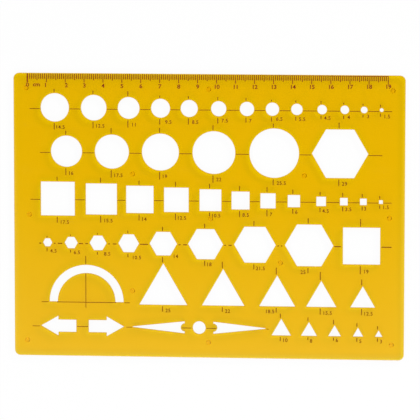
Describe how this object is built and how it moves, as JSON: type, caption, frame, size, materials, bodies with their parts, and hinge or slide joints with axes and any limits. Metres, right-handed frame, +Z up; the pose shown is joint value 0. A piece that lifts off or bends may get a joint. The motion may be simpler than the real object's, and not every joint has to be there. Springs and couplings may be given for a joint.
{
  "type": "drafting template",
  "caption": "Flat see-through amber drafting template with rows of cut-out figures to draw along, a printed centimetre scale on one long edge and domed ink risers underneath.",
  "frame": {"origin": "under the middle of the sheet, on the plane that the risers' feet stand on", "axes": "+X along the printed scale in the direction it counts, +Y in the sheet towards the scale's edge, +Z up out of the printed face"},
  "size_m": [0.206, 0.15, 0.0022],
  "materials": {
    "amber_sheet": "clear amber, polished",
    "scale_ink": "thin dark printing ink",
    "riser_plastic": "clear amber, polished"
  },
  "bodies": {
    "root": {"template_sheet": "amber_sheet", "scale_print": "scale_ink", "ink_riser_01": "riser_plastic", "ink_riser_02": "riser_plastic", "ink_riser_03": "riser_plastic", "ink_riser_04": "riser_plastic", "ink_riser_05": "riser_plastic", "ink_riser_06": "riser_plastic", "ink_riser_07": "riser_plastic", "ink_riser_08": "riser_plastic", "ink_riser_09": "riser_plastic", "ink_riser_10": "riser_plastic", "ink_riser_11": "riser_plastic", "ink_riser_12": "riser_plastic", "ink_riser_13": "riser_plastic"}
  },
  "joints": []
}
